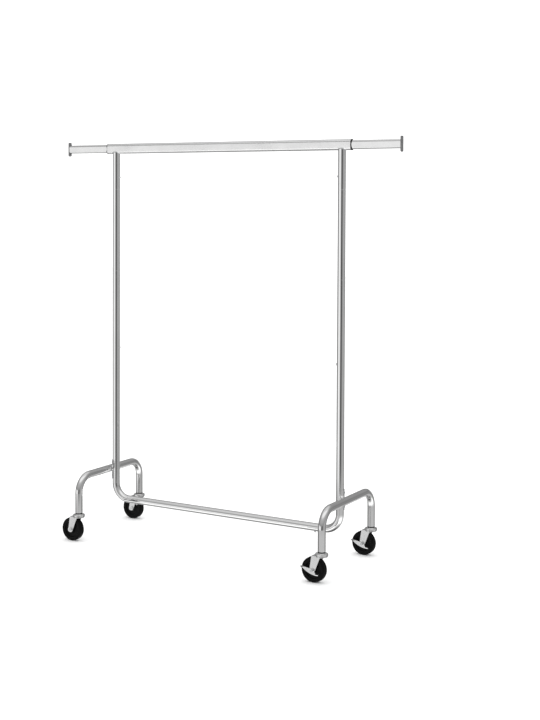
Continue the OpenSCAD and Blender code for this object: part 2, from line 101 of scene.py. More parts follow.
class Graph:
    """A material's node tree, with short ways to add and join its nodes."""

    def __init__(self, name: str) -> None:
        """Starts a new material with a Principled shader.

        Args:
            name: the material's name.
        """
        self.material = bpy.data.materials.new(name)
        self.material.use_nodes = True
        self.tree = self.material.node_tree
        self.shader = self.tree.nodes["Principled BSDF"]

    @classmethod
    def of_tree(cls, tree: bpy.types.NodeTree) -> "Graph":
        """Wraps a node tree that is already there."""
        graph = cls.__new__(cls)
        graph.tree = tree
        return graph

    def add(self, kind: str, **inputs: object) -> bpy.types.Node:
        """Adds a node and sets its sockets.

        Args:
            kind: the node's type.
            inputs: socket values, with spaces in names written as underscores.

        Returns:
            The new node.
        """
        node = self.tree.nodes.new(kind)
        for key, value in inputs.items():
            node.inputs[key.replace("_", " ")].default_value = value
        return node

    def join(self, source: bpy.types.NodeSocket, target: bpy.types.NodeSocket) -> None:
        """Links one socket to another."""
        self.tree.links.new(source, target)

    def place(self, stretch: Colour) -> bpy.types.NodeSocket:
        """Adds Object coordinates, stretched along each axis.

        Args:
            stretch: how many times the pattern repeats per metre on X, Y and Z.

        Returns:
            The mapped vector's socket.
        """
        coordinates = self.add("ShaderNodeTexCoord")
        mapping = self.add("ShaderNodeMapping", Scale=stretch)
        self.join(coordinates.outputs["Object"], mapping.inputs["Vector"])
        return mapping.outputs["Vector"]

    def noise(self, stretch: Colour, detail: float) -> bpy.types.NodeSocket:
        """Adds a noise pattern on the piece's own coordinates.

        Args:
            stretch: the pattern's repeats per metre on each axis.
            detail: how many finer octaves it has.

        Returns:
            The noise's value socket, from 0 to 1.
        """
        pattern = self.add("ShaderNodeTexNoise", Scale=1.0, Detail=detail)
        self.join(self.place(stretch), pattern.inputs["Vector"])
        return pattern.outputs["Fac"]

    def span(
        self, source: bpy.types.NodeSocket, low: float, high: float
    ) -> bpy.types.NodeSocket:
        """Maps a noise value to the range from low to high.

        Args:
            source: a value socket.
            low: the result at a noise value of 0.3.
            high: the result at a noise value of 0.7.

        Returns:
            The mapped value's socket.
        """
        ramp = self.add("ShaderNodeMapRange", From_Min=0.3, From_Max=0.7)
        ramp.inputs["To Min"].default_value = low
        ramp.inputs["To Max"].default_value = high
        self.join(source, ramp.inputs["Value"])
        return ramp.outputs["Result"]

    def tint(
        self, source: bpy.types.NodeSocket, first: Colour, second: Colour
    ) -> bpy.types.NodeSocket:
        """Mixes two colours by a noise value.

        Args:
            source: a value socket.
            first: the colour where the value is low.
            second: the colour where the value is high.

        Returns:
            The colour's socket.
        """
        ramp = self.add("ShaderNodeValToRGB")
        ramp.color_ramp.elements[0].position = 0.35
        ramp.color_ramp.elements[0].color = (*first, 1.0)
        ramp.color_ramp.elements[1].position = 0.65
        ramp.color_ramp.elements[1].color = (*second, 1.0)
        self.join(source, ramp.inputs["Fac"])
        return ramp.outputs["Color"]

    def calculate(
        self, operation: str, first: bpy.types.NodeSocket,
        second: bpy.types.NodeSocket | float = 0.0,
    ) -> bpy.types.NodeSocket:
        """Adds a sum of one or two values.

        Args:
            operation: the Math node's operation.
            first: its first value.
            second: its second value, as a socket or a number.

        Returns:
            The result's socket.
        """
        node = self.add("ShaderNodeMath")
        node.operation = operation
        self.join(first, node.inputs[0])
        if isinstance(second, float):
            node.inputs[1].default_value = second
        else:
            self.join(second, node.inputs[1])
        return node.outputs[0]

    def degrees(self, radians: bpy.types.NodeSocket) -> bpy.types.NodeSocket:
        """Turns radians into degrees."""
        return self.calculate("MULTIPLY", radians, 180.0 / math.pi)

    def rise(
        self, source: bpy.types.NodeSocket, start: float, stop: float,
        low: float = 0.0, high: float = 1.0,
    ) -> bpy.types.NodeSocket:
        """Rises smoothly from low to high while a value goes from start to stop.

        Args:
            source: the value's socket.
            start: where the rise starts.
            stop: where it ends.
            low: the result before the rise.
            high: the result after it.

        Returns:
            The result's socket.
        """
        node = self.add("ShaderNodeMapRange")
        node.interpolation_type = "SMOOTHSTEP"
        for name, value in zip(("From Min", "From Max", "To Min", "To Max"),
                               (start, stop, low, high)):
            node.inputs[name].default_value = value
        self.join(source, node.inputs["Value"])
        return node.outputs["Result"]

    def profile(
        self, source: bpy.types.NodeSocket, stops: tuple[Point, ...], reach: float
    ) -> bpy.types.NodeSocket:
        """Reads a grey from a list of stops.

        Args:
            source: the value's socket.
            stops: (value, grey) pairs in rising order.
            reach: the values run from -reach to reach.

        Returns:
            The grey's socket.
        """
        share = self.add("ShaderNodeMapRange")
        share.inputs["From Min"].default_value = -reach
        share.inputs["From Max"].default_value = reach
        self.join(source, share.inputs["Value"])
        ramp = self.add("ShaderNodeValToRGB")
        elements = ramp.color_ramp.elements
        elements.remove(elements[1])
        for index, (value, grey) in enumerate(stops):
            place = (value + reach) / (2 * reach)
            element = elements.new(place) if index else elements[0]
            element.position = place
            element.color = (grey, grey, grey, 1.0)
        self.join(share.outputs["Result"], ramp.inputs["Fac"])
        return ramp.outputs["Color"]

    def blend(
        self, factor: bpy.types.NodeSocket, first: bpy.types.NodeSocket,
        second: bpy.types.NodeSocket,
    ) -> bpy.types.NodeSocket:
        """Blends two values.

        Args:
            factor: the share of the second value.
            first: the value at a factor of 0.
            second: the value at a factor of 1.

        Returns:
            The result's socket.
        """
        node = self.add("ShaderNodeMix")
        self.join(factor, node.inputs[0])
        self.join(first, node.inputs[2])
        self.join(second, node.inputs[3])
        return node.outputs[0]

    def relief(self, source: bpy.types.NodeSocket, depth: float) -> None:
        """Raises the surface by a pattern.

        Args:
            source: the height's value socket.
            depth: the height in metres at a value of 1.
        """
        bump = self.add("ShaderNodeBump", Strength=1.0, Distance=depth)
        self.join(source, bump.inputs["Height"])
        self.join(bump.outputs["Normal"], self.shader.inputs["Normal"])


@dataclass(frozen=True)
class Plating:
    """A plated or bare metal finish, with fine lines and handling marks."""

    name: str
    bright: Colour
    dull: Colour
    smooth: float
    rough: float
    lines: Colour
    line_depth: float = 0.0

    def build(self) -> bpy.types.Material:
        """Makes the material.

        Returns:
            The finished material.
        """
        graph = Graph(self.name)
        marks = graph.noise((14.0, 14.0, 14.0), 6.0)
        fine = graph.noise(self.lines, 3.0)
        shader = graph.shader.inputs
        shader["Metallic"].default_value = 1.0
        graph.join(graph.tint(marks, self.bright, self.dull), shader["Base Color"])
        both = graph.calculate("ADD", marks, graph.calculate("MULTIPLY", fine, 0.6))
        share = graph.calculate("DIVIDE", both, 1.6)
        graph.join(graph.span(share, self.smooth, self.rough), shader["Roughness"])
        if self.line_depth:
            graph.relief(fine, self.line_depth)
        return graph.material


@dataclass(frozen=True)
class Moulding:
    """A moulded plastic or rubber finish, with grain and a little dust."""

    name: str
    body: Colour
    dusted: Colour
    smooth: float
    rough: float
    grain: float
    grain_depth: float
    shine: float = 0.5

    def build(self) -> bpy.types.Material:
        """Makes the material.

        Returns:
            The finished material.
        """
        graph = Graph(self.name)
        dust = graph.noise((40.0, 40.0, 40.0), 5.0)
        grain = graph.noise((self.grain, self.grain, self.grain), 2.0)
        shader = graph.shader.inputs
        shader["Specular IOR Level"].default_value = self.shine
        graph.join(graph.tint(dust, self.body, self.dusted), shader["Base Color"])
        graph.join(graph.span(dust, self.smooth, self.rough), shader["Roughness"])
        graph.relief(grain, self.grain_depth)
        return graph.material


class Finish(Enum):
    """Every finish on the rack. The value's name is the record's material slot."""

    CHROME = Plating(
        "chrome_tube", (0.95, 0.95, 0.95), (0.91, 0.91, 0.91), 0.03, 0.08,
        (500.0, 500.0, 12.0),
    )
    CHROME_RAIL = Plating(
        "chrome_rail", (0.88, 0.88, 0.88), (0.82, 0.82, 0.82), 0.08, 0.16,
        (8.0, 900.0, 900.0), 0.004 * MM,
    )
    SATIN = Plating(
        "satin_rail", (0.97, 0.97, 0.97), (0.93, 0.93, 0.93), 0.2, 0.3,
        (6.0, 1400.0, 1400.0), 0.010 * MM,
    )
    ZINC = Plating(
        "zinc_plate", (0.97, 0.97, 0.97), (0.84, 0.84, 0.84), 0.13, 0.28,
        (320.0, 320.0, 320.0), 0.02 * MM,
    )
    FASTENER = Plating(
        "zinc_fastener", (0.78, 0.79, 0.80), (0.66, 0.67, 0.68), 0.16, 0.3,
        (420.0, 420.0, 420.0), 0.01 * MM,
    )
    SPRING = Plating(
        "spring_steel", (0.52, 0.53, 0.55), (0.40, 0.41, 0.43), 0.25, 0.4,
        (300.0, 300.0, 300.0),
    )
    CAP = Moulding(
        "grey_cap", (0.125, 0.125, 0.127), (0.155, 0.155, 0.157), 0.25, 0.36, 1500.0,
        0.01 * MM, 0.3,
    )
    NYLON = Moulding(
        "white_nylon", (0.70, 0.70, 0.68), (0.60, 0.60, 0.58), 0.4, 0.55, 1200.0,
        0.02 * MM,
    )
    BLACK = Moulding(
        "black_plastic", (0.004, 0.004, 0.004), (0.008, 0.008, 0.008), 0.35, 0.5,
        1400.0, 0.03 * MM, 0.15,
    )
    HUB = Moulding(
        "black_hub", (0.002, 0.002, 0.002), (0.004, 0.004, 0.004), 0.3, 0.45,
        1000.0, 0.02 * MM, 0.12,
    )
    TYRE = Moulding(
        "black_tyre", (0.0015, 0.0015, 0.0015), (0.0035, 0.0035, 0.0035), 0.36, 0.55,
        900.0, 0.04 * MM, 0.1,
    )

    @property
    def slot(self) -> str:
        """The record's material slot."""
        return self.value.name

    def material(self) -> bpy.types.Material:
        """The finish's material, made once."""
        return bpy.data.materials.get(self.slot + "_finish") or self._make()

    def _make(self) -> bpy.types.Material:
        """Builds and names the material."""
        made = self.value.build()
        made.name = self.slot + "_finish"
        return made


# ------------------------------------------------------------- mesh making


class Shape:
    """A mesh in the making, with the operations that the rack's pieces need."""

    def __init__(self) -> None:
        """Starts empty."""
        self.bm = bmesh.new()

    def revolve(self, outline: list[Point], steps: int = 72) -> "Shape":
        """Spins an outline about Z and closes its poles.

        Args:
            outline: (radius, height) points in order round the section. It may start
                and end on the axis, and is otherwise closed.
            steps: the number of faces round the turn.

        Returns:
            This shape.
        """
        verts = [self.bm.verts.new((radius, 0.0, height)) for radius, height in outline]
        pairs = list(zip(verts, verts[1:]))
        if outline[0][0] or outline[-1][0]:
            pairs.append((verts[-1], verts[0]))
        edges = [self.bm.edges.new(pair) for pair in pairs]
        bmesh.ops.spin(
            self.bm, geom=verts + edges, cent=(0, 0, 0), axis=(0, 0, 1),
            angle=FULL_TURN, steps=steps, use_merge=True, use_duplicate=False,
        )
        return self.clean()

    @classmethod
    def of_node(cls, node: str) -> "Shape":
        """Starts from a merged copy of a CAD node, with its flat faces joined up.

        Args:
            node: the node's name.

        Returns:
            The new shape.
        """
        shape = cls()
        shape.bm.from_mesh(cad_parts[node].data)
        bm = shape.bm
        bmesh.ops.remove_doubles(bm, verts=bm.verts[:], dist=MERGE_GAP)
        bmesh.ops.dissolve_limit(
            bm, angle_limit=math.radians(0.3), verts=bm.verts[:], edges=bm.edges[:],
        )
        return shape

    def clean(self) -> "Shape":
        """Merges doubles, drops slivers and turns the faces outwards."""
        bmesh.ops.remove_doubles(self.bm, verts=self.bm.verts[:], dist=MERGE_GAP)
        bmesh.ops.dissolve_degenerate(self.bm, edges=self.bm.edges[:], dist=MERGE_GAP)
        bmesh.ops.recalc_face_normals(self.bm, faces=self.bm.faces[:])
        return self

    def soften(
        self,
        width: float,
        segments: int = 2,
        angle: float = 40.0,
        where: Callable[[bmesh.types.BMEdge], bool] = lambda edge: True,
    ) -> "Shape":
        """Rounds the sharp edges.

        Args:
            width: the bevel's width.
            segments: how many faces cross the bevel.
            angle: edges sharper than this, in degrees, are rounded.
            where: a test that an edge must also pass.

        Returns:
            This shape.
        """
        sharp = [
            edge
            for edge in self.bm.edges
            if edge.is_manifold
            and edge.calc_face_angle() > math.radians(angle)
            and where(edge)
        ]
        bmesh.ops.bevel(
            self.bm, geom=sharp, offset=width, offset_type="OFFSET", segments=segments,
            profile=0.5, affect="EDGES", clamp_overlap=True, material=-1,
        )
        return self.clean()

    def move(self, matrix: Matrix) -> "Shape":
        """Moves and turns the whole shape, and keeps its faces outwards."""
        bmesh.ops.transform(self.bm, matrix=matrix, verts=self.bm.verts[:])
        if matrix.determinant() < 0:
            bmesh.ops.reverse_faces(self.bm, faces=self.bm.faces[:])
        return self

    def add(self, other: "Shape") -> "Shape":
        """Takes in another shape as a separate shell."""
        scratch = bpy.data.meshes.new("scratch")
        other.bm.to_mesh(scratch)
        self.bm.from_mesh(scratch)
        bpy.data.meshes.remove(scratch)
        other.bm.free()
        return self

    def cut(self, cutter: "Shape") -> "Shape":
        """Takes another shape's volume out of this one.

        Args:
            cutter: the closed shape to take away.

        Returns:
            This shape.
        """
        target = _scratch_object(self.bm, "cut_target")
        tool = _scratch_object(cutter.bm, "cut_tool")
        modifier = target.modifiers.new("cut", "BOOLEAN")
        modifier.operation = "DIFFERENCE"
        modifier.solver = "EXACT"
        modifier.object = tool
        result = target.evaluated_get(bpy.context.evaluated_depsgraph_get())
        self.bm.clear()
        self.bm.from_mesh(result.to_mesh())
        result.to_mesh_clear()
        for obj in (target, tool):
            mesh = obj.data
            bpy.data.objects.remove(obj)
            bpy.data.meshes.remove(mesh)
        cutter.bm.free()
        return self

    def mirrored(self, side: Side) -> "Shape":
        """Mirrors the shape to the left where the side asks for it."""
        if side is Side.LEFT:
            self.move(Matrix.Scale(-1.0, 4, (1, 0, 0)))
        return self

    def finish(
        self, name: str, finish: Finish, body: str, nodes: Iterable[str] = (),
        smooth_angle: float = 30.0,
    ) -> bpy.types.Object:
        """Turns the shape into a dressed piece that rides on its body.

        Args:
            name: the piece's name.
            finish: what it is made of.
            body: the CAD body that it moves with.
            nodes: the CAD nodes that it stands for.
            smooth_angle: edges sharper than this, in degrees, stay crisp.

        Returns:
            The piece.
        """
        mesh = bpy.data.meshes.new(name)
        self.bm.to_mesh(mesh)
        self.bm.free()
        mesh.shade_smooth()
        mesh.set_sharp_from_angle(angle=math.radians(smooth_angle))
        mesh.materials.append(finish.material())
        piece = bpy.data.objects.new(name, mesh)
        bpy.context.scene.collection.objects.link(piece)
        even = piece.modifiers.new("even shading", "WEIGHTED_NORMAL")
        even.keep_sharp = True
        even.weight = 90
        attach(piece, body)
        if nodes:
            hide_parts(*nodes)
        LOG.info("%s: %d faces on %s", name, len(mesh.polygons), body)
        return piece


def _scratch_object(bm: bmesh.types.BMesh, name: str) -> bpy.types.Object:
    """Makes a short-lived object from a bmesh.

    Args:
        bm: the mesh to copy.
        name: the object's name.

    Returns:
        The linked object.
    """
    mesh = bpy.data.meshes.new(name)
    bm.to_mesh(mesh)
    obj = bpy.data.objects.new(name, mesh)
    bpy.context.scene.collection.objects.link(obj)
    return obj


def ring(centre: Point, radius: float, start: float, stop: float, steps: int) -> list[Point]:
    """Points along an arc, from one angle to another.

    Args:
        centre: the arc's centre.
        radius: its radius.
        start: the first angle in degrees.
        stop: the last angle in degrees.
        steps: how many spans it has.

    Returns:
        The points in order.
    """
    angles = (math.radians(start + (stop - start) * i / steps) for i in range(steps + 1))
    return [
        (centre[0] + radius * math.cos(a), centre[1] + radius * math.sin(a))
        for a in angles
    ]


def hexagon(across_flats: float, height: float, chamfer: float) -> Shape:
    """A hexagonal block that stands on the origin along Z.

    Args:
        across_flats: the distance between opposite flats.
        height: its height.
        chamfer: the rounding of its edges.

    Returns:
        The block.
    """
    shape = Shape()
    corner = across_flats / math.sqrt(3)
    bmesh.ops.create_cone(
        shape.bm, cap_ends=True, segments=6, radius1=corner, radius2=corner,
        depth=height, matrix=at(0.0, 0.0, height / 2),
    )
    return shape.soften(chamfer)


TO_X = Matrix.Rotation(QUARTER_TURN, 4, "Y")
TO_Y = Matrix.Rotation(-QUARTER_TURN, 4, "X")


def at(x: float, y: float, z: float) -> Matrix:
    """A move to a place."""
    return Matrix.Translation((x, y, z))


def half_step(sides: int) -> Matrix:
    """A turn of half a ring's step, so that no corner is on its middle line."""
    return Matrix.Rotation(math.pi / sides, 4, "Z")


@dataclass
class Run:
    """A bent tube: a ring that is carried along straights and bends."""

    radius: float
    wall: float
    sides: int = 64
    shape: Shape = field(default_factory=Shape)
    edges: list[bmesh.types.BMEdge] = field(default_factory=list)

    def start(self, matrix: Matrix) -> "Run":
        """Lays the first ring, square to Z under a matrix."""
        bmesh.ops.create_circle(
            self.shape.bm, cap_ends=False, segments=self.sides, radius=self.radius,
            matrix=matrix,
        )
        self.edges = self.shape.bm.edges[:]
        return self

    def straight(self, along: Vector) -> "Run":
        """Carries the ring along a straight."""
        made = bmesh.ops.extrude_edge_only(self.shape.bm, edges=self.edges)["geom"]
        verts = {item for item in made if isinstance(item, bmesh.types.BMVert)}
        bmesh.ops.translate(self.shape.bm, vec=along, verts=list(verts))
        self.edges = [
            item
            for item in made
            if isinstance(item, bmesh.types.BMEdge) and verts.issuperset(item.verts)
        ]
        return self

    def bend(self, centre: Vector, axis: Vector, angle: float, steps: int = 20) -> "Run":
        """Carries the ring round a bend.

        Args:
            centre: a point on the bend's axis.
            axis: the axis to turn about.
            angle: the turn in radians, by the right-hand rule.
            steps: the spans along the bend.

        Returns:
            This run.
        """
        rim = {vert for edge in self.edges for vert in edge.verts}
        made = bmesh.ops.spin(
            self.shape.bm, geom=self.edges + list(rim), cent=centre, axis=axis,
            angle=angle, steps=steps, use_merge=False, use_duplicate=False,
        )
        self.edges = [
            item for item in made["geom_last"] if isinstance(item, bmesh.types.BMEdge)
        ]
        return self

    def close(self, lip: float) -> Shape:
        """Gives the tube its wall and rounds the edges of its ends.

        Args:
            lip: the rounding of each end's edges.

        Returns:
            The finished shape.
        """
        bm = self.shape.bm
        bmesh.ops.remove_doubles(bm, verts=bm.verts[:], dist=MERGE_GAP)
        bmesh.ops.recalc_face_normals(bm, faces=bm.faces[:])
        bm.normal_update()
        copy = bmesh.ops.duplicate(bm, geom=bm.verts[:] + bm.edges[:] + bm.faces[:])
        inner = [item for item in copy["geom"] if isinstance(item, bmesh.types.BMVert)]
        inner_faces = [item for item in copy["geom"] if isinstance(item, bmesh.types.BMFace)]
        for vert in inner:
            vert.co -= vert.normal * self.wall
        bmesh.ops.reverse_faces(bm, faces=inner_faces)
        rims = [edge for edge in bm.edges if edge.is_boundary]
        for group in _split_by_place(rims, self.radius * 5):
            bmesh.ops.bridge_loops(bm, edges=group)
        bmesh.ops.recalc_face_normals(bm, faces=bm.faces[:])
        return self.shape.soften(lip, segments=2, angle=60.0)


def _split_by_place(
    edges: list[bmesh.types.BMEdge], reach: float
) -> list[list[bmesh.types.BMEdge]]:
    """Sorts the open edges at a tube's two ends into one group for each end.

    Args:
        edges: all the open edges.
        reach: edges within this distance of each other are at the same end.

    Returns:
        The groups.
    """
    groups: list[list[bmesh.types.BMEdge]] = []
    for edge in edges:
        place = edge.verts[0].co
        for group in groups:
            if (group[0].verts[0].co - place).length < reach:
                group.append(edge)
                break
        else:
            groups.append([edge])
    return groups


# ---------------------------------------------------------- sub-assemblies


def middle(node: str) -> Vector:
    """The middle of a node's box."""
    low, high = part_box(node)
    return (low + high) / 2


def place_of(side: Side, end: End) -> str:
    """The words that name one caster or leg end, such as left_front."""
    return f"{side.word}_{end.word}"


@dataclass
class HangingRail:
    """The flat-oval rail with its sockets, bushes and sliding extensions."""

    round_radius: float = 11.0 * MM
    slide_radius: float = 7.5 * MM
    wall: float = 1.2 * MM
    lip: float = 0.35 * MM
    socket_radius: float = 14.3 * MM
    weld_radius: float = 1.2 * MM
    weld_drop: float = 0.3 * MM
    weld_ripple: float = 0.15 * MM
    cope: float = 6.0 * MM
    weld_ripples: int = 32
    cap_edge: float = 1.1 * MM
    bush_edge: float = 0.4 * MM
    spans: int = 4

    def build(self) -> None:
        """Builds the rail and all that it carries."""
        self.tube("top_rail_tube", "frame", self.round_radius, Finish.SATIN)
        for side in Side:
            self.socket(side)
            self.weld(side)
            self.bush(side)
            self.extension(side)

    def tube(self, node: str, body: str, radius: float, finish: Finish) -> None:
        """Builds a flat-oval tube over a node's length.

        Args:
            node: the node that it stands for.
            body: the body that it rides on.
            radius: the radius of its round edges.
            finish: what it is made of.
        """
        low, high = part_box(node)
        centre = (low + high) / 2
        lift = (high.z - low.z) / 2 - radius
        run = Run(radius, self.wall, sides=72)
        run.start(at(low.x, centre.y, centre.z) @ TO_X @ half_step(run.sides))
        for vert in run.shape.bm.verts:
            vert.co.z += math.copysign(lift, vert.co.z - centre.z)
        for _ in range(self.spans):
            run.straight(Vector(((high.x - low.x) / self.spans, 0.0, 0.0)))
        run.close(self.lip).finish(node + "_drawn", finish, body, [node])

    def socket(self, side: Side) -> None:
        """Builds the round tube under the rail."""
        node = f"rail_socket_{side.word}"
        shape = Shape.of_node(node).soften(self.lip, angle=60.0)
        shape.finish(node + "_turned", Finish.CHROME, "frame", [node])

    def weld(self, side: Side) -> None:
        """Lays the weld bead where a socket meets the rail."""
        low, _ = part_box("top_rail_tube")
        arc_height = low.z + self.round_radius
        shape = Shape().revolve(
            ring((self.socket_radius, 0.0), self.weld_radius, 0, 330, 11), steps=96
        )
        for vert in shape.bm.verts:
            turn = math.atan2(vert.co.y, vert.co.x)
            across = min(abs(self.socket_radius * math.sin(turn)), self.round_radius)
            rise = arc_height - math.sqrt(self.round_radius**2 - across**2)
            vert.co.z += min(rise, low.z + self.cope) - self.weld_drop
            vert.co.z += self.weld_ripple * math.sin(self.weld_ripples * turn)
        shape.move(at(middle(f"rail_socket_{side.word}").x, 0.0, 0.0))
        shape.finish(f"rail_weld_{side.word}", Finish.FASTENER, "frame", smooth_angle=60)

    def bush(self, side: Side) -> None:
        """Builds the black bush in the rail's open end."""
        node = f"rail_bush_{side.word}"
        shape = Shape.of_node(node).soften(self.bush_edge, segments=3, angle=60.0)
        shape.finish(node + "_moulded", Finish.BLACK, "frame", [node])

    def extension(self, side: Side) -> None:
        """Builds a sliding rail with its end cap."""
        body = f"extension_{side.word}"
        self.tube(
            f"extension_rail_{side.word}", body, self.slide_radius, Finish.CHROME_RAIL
        )
        node = f"end_cap_{side.word}"
        shape = Shape.of_node(node).soften(self.cap_edge, segments=4, angle=60.0)
        shape.finish(node + "_moulded", Finish.CAP, body, [node])


@dataclass
class UprightFrame:
    """The two uprights, their corner bends, the bottom tube and the snap buttons."""

    lip: float = 0.45 * MM
    tube_radius: float = 14.3 * MM
    proud: float = 5.5 * MM
    button_radius: float = 4.3 * MM
    base_radius: float = 5.8 * MM
    base_foot: float = 8.4 * MM
    base_top: float = 9.4 * MM
    leaf_width: float = 9.0 * MM
    leaf_thickness: float = 0.8 * MM
    leaf_tip: Point = (3.4 * MM, -24.0 * MM)
    leaf_root: float = 4.0 * MM

    def build(self) -> None:
        """Builds the tubes and the buttons."""
        nodes = ["bottom_cross_tube"]
        nodes += [f"upright_upper_{side.word}" for side in Side]
        nodes += [f"corner_tube_{side.word}" for side in Side]
        for node in nodes:
            shape = Shape.of_node(node).soften(self.lip, angle=60.0)
            shape.finish(node + "_drawn", Finish.CHROME, "frame", [node])
        for side in Side:
            for level in Level:
                self.button(level, side)

    def button(self, level: Level, side: Side) -> None:
        """Builds one sprung pin with its flange and leaf."""
        node = f"snap_button_{level.value}_{side.word}"
        dome_centre = self.tube_radius + self.proud - self.button_radius
        dome = ring((0.0, dome_centre), self.button_radius, 0, 90, 10)[:-1]
        outline = [
            (0.0, self.base_foot),
            (self.base_radius, self.base_foot),
            (self.base_radius, self.base_top),
            (self.button_radius, self.base_top),
            *dome,
            (0.0, self.tube_radius + self.proud),
        ]
        pin = Shape().revolve(outline, steps=40).soften(0.15 * MM, angle=60.0)
        pin.move(TO_X).add(self.leaf())
        pin.move(self.seat(level)).mirrored(side)
        body = f"button_{level.value}_{side.word}"
        pin.finish(node + "_pin", Finish.FASTENER, body, [node])

    def leaf(self) -> Shape:
        """The spring leaf that carries a pin, below it along -Z."""
        shape = Shape()
        tip_x, tip_z = self.leaf_tip
        rows = [(self.base_foot, self.leaf_root), (self.base_foot, -self.leaf_root),
                (tip_x, tip_z)]
        edge = [
            shape.bm.verts.new((x, -self.leaf_width / 2, z)) for x, z in rows
        ]
        edges = [shape.bm.edges.new(pair) for pair in zip(edge, edge[1:])]
        made = bmesh.ops.extrude_edge_only(shape.bm, edges=edges)["geom"]
        far = [item for item in made if isinstance(item, bmesh.types.BMVert)]
        bmesh.ops.translate(shape.bm, vec=(0.0, self.leaf_width, 0.0), verts=far)
        bmesh.ops.recalc_face_normals(shape.bm, faces=shape.bm.faces[:])
        bmesh.ops.solidify(
            shape.bm, geom=shape.bm.faces[:], thickness=self.leaf_thickness
        )
        return shape.clean()

    def seat(self, level: Level) -> Matrix:
        """Where a button sits on the right-hand side."""
        low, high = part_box(f"snap_button_{level.value}_right")
        reach = self.tube_radius + self.proud
        if level is Level.TOP:
            turn = Matrix.Rotation(math.pi, 4, "Z")
            return at(low.x + reach, 0.0, high.z - self.base_radius) @ turn
        if level is Level.MID:
            turn = Matrix.Rotation(math.pi, 4, "Y")
            return at(low.x + reach, 0.0, low.z + self.base_radius) @ turn
        turn = Matrix.Rotation(QUARTER_TURN, 4, "Y")
        return at(high.x - self.base_radius, 0.0, low.z + reach) @ turn


